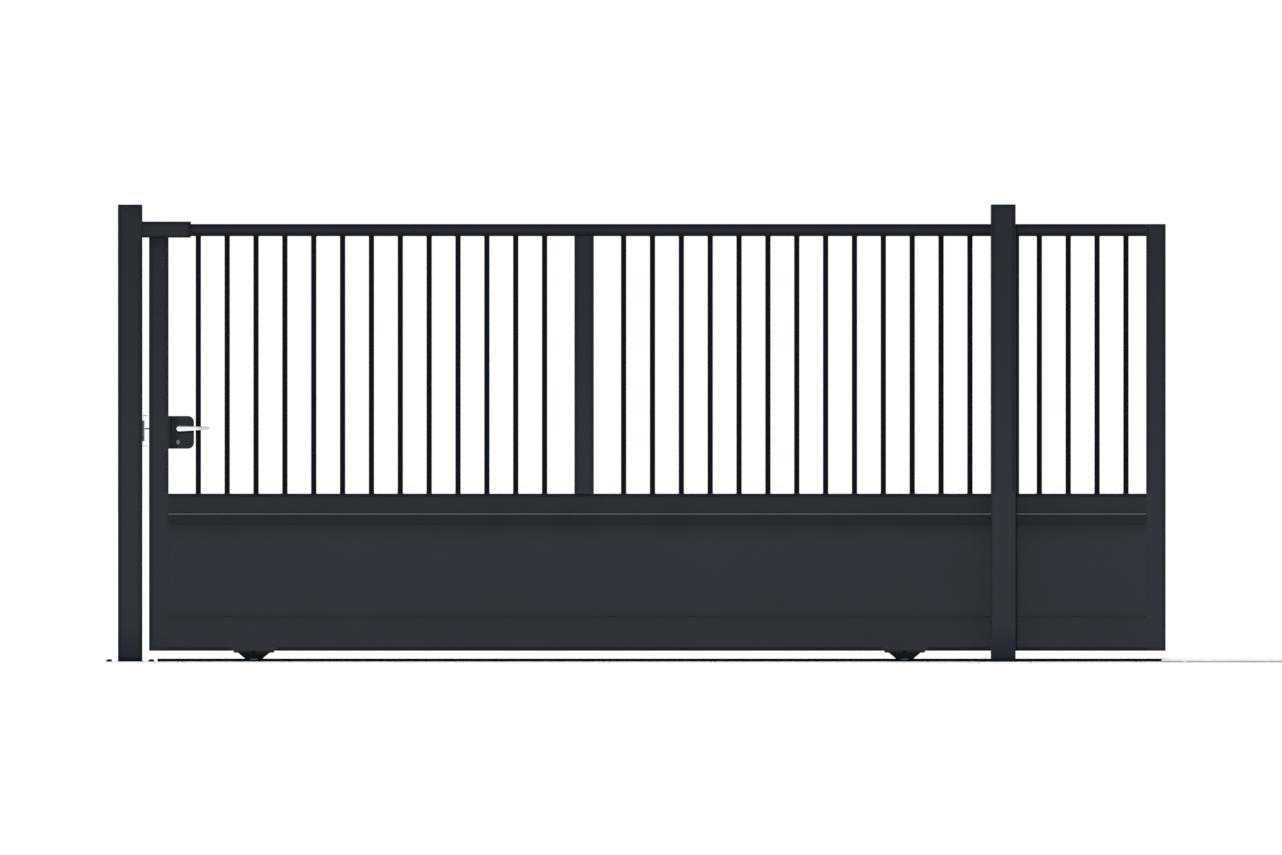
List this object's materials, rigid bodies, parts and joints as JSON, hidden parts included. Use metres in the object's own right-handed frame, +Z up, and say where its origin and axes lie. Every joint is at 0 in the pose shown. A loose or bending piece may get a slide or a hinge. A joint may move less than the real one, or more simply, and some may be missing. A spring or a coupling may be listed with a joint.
{
  "type": "sliding driveway gate",
  "caption": "Sliding driveway gate: barred leaf with a solid lower panel on two grooved wheels, its receiving post, guide posts, ground track and lever lock",
  "frame": {"origin": "centre of the underside of the receiving post's base plate, on the ground", "axes": "+X along the gate from the receiving post to the guide posts, -Y the street side, +Z up"},
  "size_m": [6.6592, 0.49, 1.892],
  "materials": {
    "powder_coat": "satin anthracite powder coat on hollow steel tube",
    "lock_paint": "fine matt black-grey lock enamel",
    "galvanised_steel": "hot-dip galvanised, dull spangle",
    "black_steel": "black enamel on steel, greased where the wheels run",
    "turned_steel": "turned steel, dark zinc plated",
    "stainless_steel": "satin stainless",
    "satin_aluminium": "satin anodised",
    "roller_nylon": "natural nylon",
    "buffer_rubber": "black rubber"
  },
  "bodies": {
    "root": {"receiving_post": "powder_coat", "receiving_post_cap": "powder_coat", "guide_post_front": "powder_coat", "guide_post_front_cap": "powder_coat", "guide_post_rear": "powder_coat", "guide_post_rear_cap": "powder_coat", "receiving_base_plate": "galvanised_steel", "guide_base_plate_front": "galvanised_steel", "guide_base_plate_rear": "galvanised_steel", "receiving_anchors": "black_steel", "guide_anchors": "black_steel", "track_gateway": "black_steel", "track_run_back": "galvanised_steel", "track_stop": "galvanised_steel", "track_buffer": "buffer_rubber", "portal_bridge": "powder_coat", "guide_rollers": "roller_nylon", "roller_spindles": "galvanised_steel", "catcher": "powder_coat", "lock_keep": "stainless_steel", "keep_lugs": "turned_steel"},
    "leaf": {"stile_receiving": "powder_coat", "stile_tail": "powder_coat", "stile_middle": "powder_coat", "stile_third": "powder_coat", "top_rail": "powder_coat", "mid_rail": "powder_coat", "stile_caps": "powder_coat", "bottom_rail": "powder_coat", "bars_front_bay": "powder_coat", "bars_middle_bay": "powder_coat", "bars_tail_bay": "powder_coat", "infill_panel": "powder_coat", "panel_trim": "powder_coat", "carriage_front": "black_steel", "axle_front": "black_steel", "carriage_rear": "black_steel", "axle_rear": "black_steel", "lock_case": "lock_paint", "key_cylinder": "stainless_steel"},
    "front_wheel": {"wheel_front": "turned_steel"},
    "rear_wheel": {"wheel_rear": "turned_steel"},
    "lever": {"lever_handle": "satin_aluminium"},
    "tongue": {"latch_tongue": "turned_steel"}
  },
  "joints": [
    {"name": "leaf_slide", "type": "slide", "parent": "root", "child": "leaf", "axis": [1, 0, 0], "range_m": [0, 3.21]},
    {"name": "front_wheel_spin", "type": "hinge", "parent": "leaf", "child": "front_wheel", "pos_m": [0.51, 0, 0.052], "axis": [0, 1, 0], "range_deg": [0, 5760]},
    {"name": "rear_wheel_spin", "type": "hinge", "parent": "leaf", "child": "rear_wheel", "pos_m": [3.194, 0, 0.052], "axis": [0, 1, 0], "range_deg": [0, 5760]},
    {"name": "lever_turn", "type": "hinge", "parent": "leaf", "child": "lever", "pos_m": [0.203, 0, 0.968], "axis": [0, 1, 0], "range_deg": [0, 40], "stiffness_Nm_per_rad": 0.6, "springref_deg": -20.05},
    {"name": "tongue_draw", "type": "slide", "parent": "leaf", "child": "tongue", "axis": [1, 0, 0], "range_m": [0, 0.018]}
  ],
  "couplings": [
    {"joint": "front_wheel_spin", "follows": "leaf_slide", "rad_per_m": 31.25},
    {"joint": "rear_wheel_spin", "follows": "leaf_slide", "rad_per_m": 31.25},
    {"joint": "tongue_draw", "follows": "lever_turn", "m_per_rad": 0.025}
  ]
}
